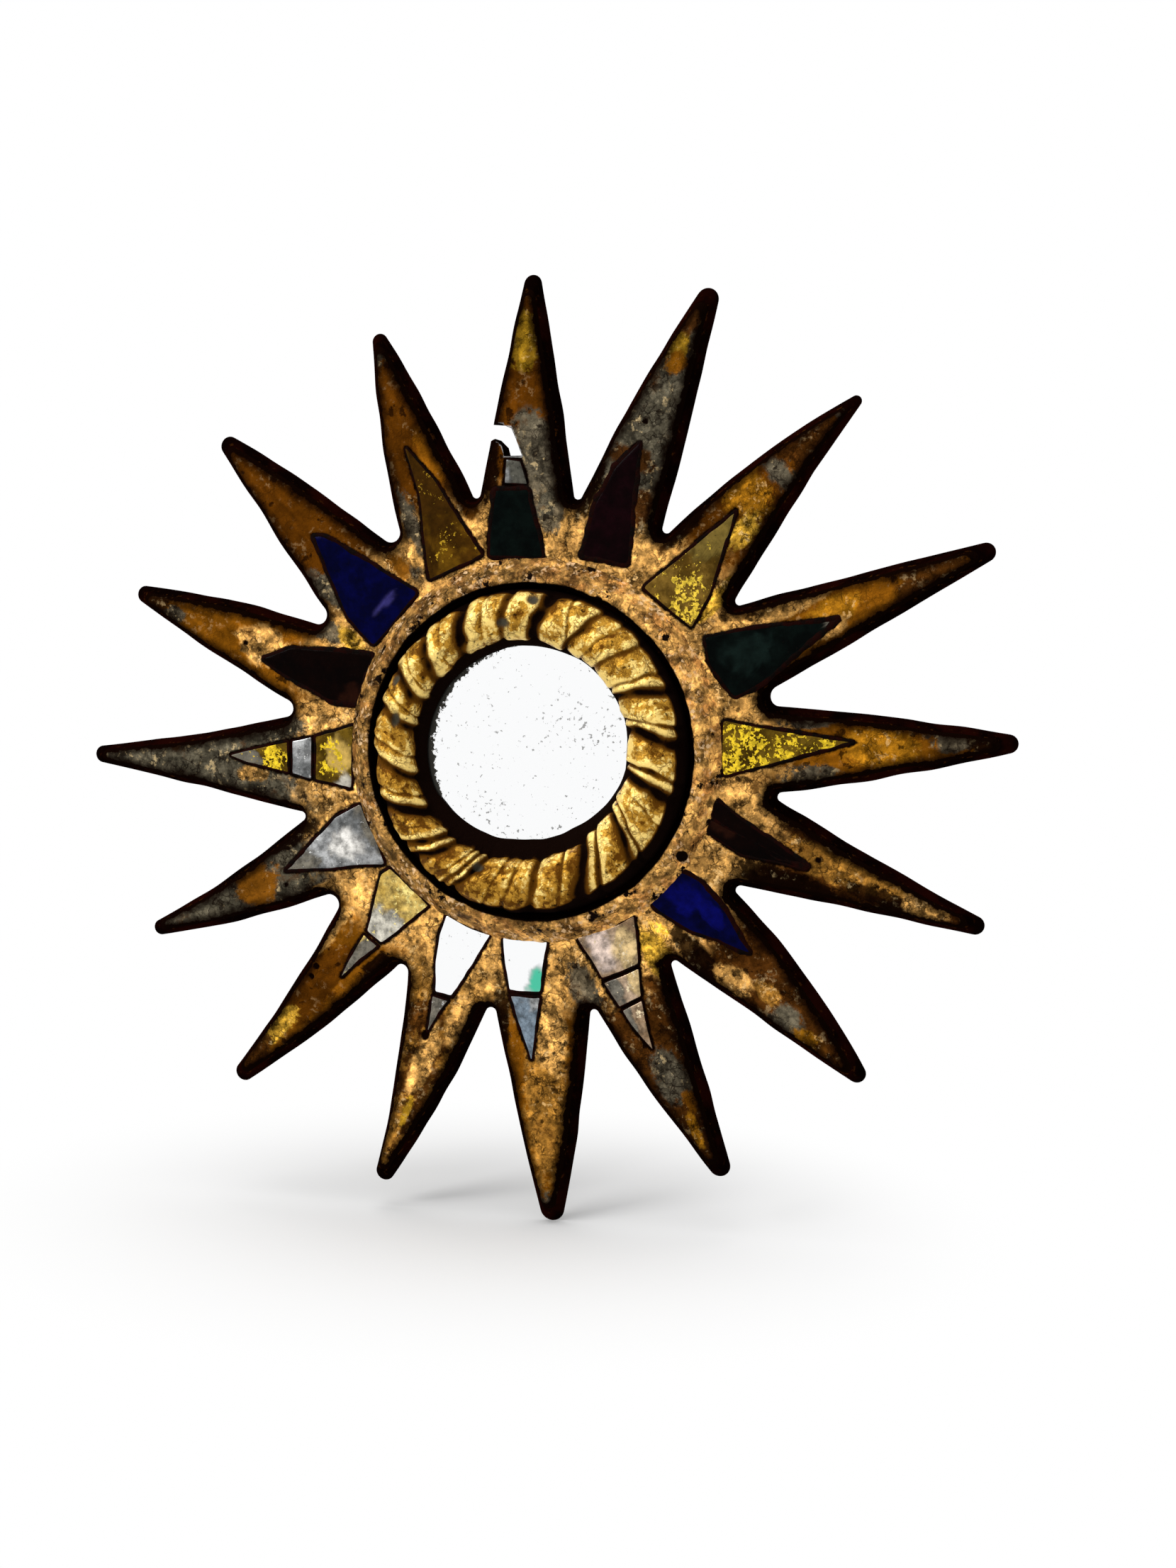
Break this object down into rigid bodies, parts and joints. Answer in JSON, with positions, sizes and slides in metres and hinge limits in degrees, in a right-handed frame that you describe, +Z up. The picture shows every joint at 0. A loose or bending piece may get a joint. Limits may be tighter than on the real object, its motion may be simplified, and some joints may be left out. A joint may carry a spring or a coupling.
{
  "type": "sunburst wall mirror",
  "caption": "Wall mirror shaped as a sun: gilded bevelled rays inlaid with coloured glass round a twisted bezel and a small domed mirror, hung by a ring at the back.",
  "frame": {"origin": "centre of the back pad, on the wall plane, at the centre of the sun", "axes": "+Z up, -Y out of the front towards the viewer, +Y into the wall, +X to the right as seen from the front"},
  "size_m": [0.2549, 0.019, 0.2511],
  "materials": {
    "dark_resin": "near-black cast resin with a maroon-brown bloom",
    "gilded_resin": "gilded resin skin, crackled and patinated in amber, olive gold, pewter and copper patches",
    "bezel_gold": "bright gilded resin with dark brown toning in the grooves",
    "copper_resin": "copper-toned gilding with dark speckle",
    "mirror": "silvered domed glass with fine age specks",
    "glass_mirror": "silvered flat glass, lightly spotted",
    "glass_grey": "silver-grey backed glass",
    "glass_dark_green": "green-black backed glass",
    "glass_plum": "dark plum backed glass",
    "glass_olive_gold": "olive-gold backed glass with flakes",
    "glass_yellow_flake": "clear glass over yellow-gold flake",
    "glass_black_brown": "brown-black backed glass",
    "glass_cobalt": "cobalt blue backed glass",
    "glass_rose_silver": "rose-silver backed glass",
    "glass_pale_gold": "pale gold backed glass",
    "glass_amber": "amber backed glass",
    "felt": "dark felt",
    "brass": "aged brass"
  },
  "bodies": {
    "sun": {"star_base": "dark_resin", "star_face": "gilded_resin", "rope_bezel": "bezel_gold", "collar_ring": "copper_resin", "mirror_glass": "mirror", "back_pad": "felt", "hanger_strap": "brass", "hanger_screws": "brass", "glass_01_tip": "glass_grey", "glass_01_root": "glass_dark_green", "glass_02": "glass_plum", "glass_03": "glass_olive_gold", "glass_04": "glass_dark_green", "glass_05": "glass_yellow_flake", "glass_06_upper": "glass_black_brown", "glass_06_lower": "glass_black_brown", "glass_07": "glass_cobalt", "glass_08_root": "glass_rose_silver", "glass_08_middle": "glass_rose_silver", "glass_08_tip": "glass_rose_silver", "glass_09_root": "glass_mirror", "glass_09_tip": "glass_grey", "glass_10_root": "glass_mirror", "glass_10_tip": "glass_grey", "glass_11_root": "glass_pale_gold", "glass_11_tip": "glass_pale_gold", "glass_12": "glass_grey", "glass_13_root": "glass_yellow_flake", "glass_13_middle": "glass_grey", "glass_13_tip": "glass_yellow_flake", "glass_14": "glass_black_brown", "glass_15": "glass_cobalt", "glass_16": "glass_amber"},
    "ring": {"hanger_ring": "brass"}
  },
  "joints": [
    {"name": "ring_hinge", "type": "hinge", "parent": "sun", "child": "ring", "pos_m": [0, -0.00152, 0.062], "axis": [1, 0, 0], "range_deg": [0, 180]}
  ]
}
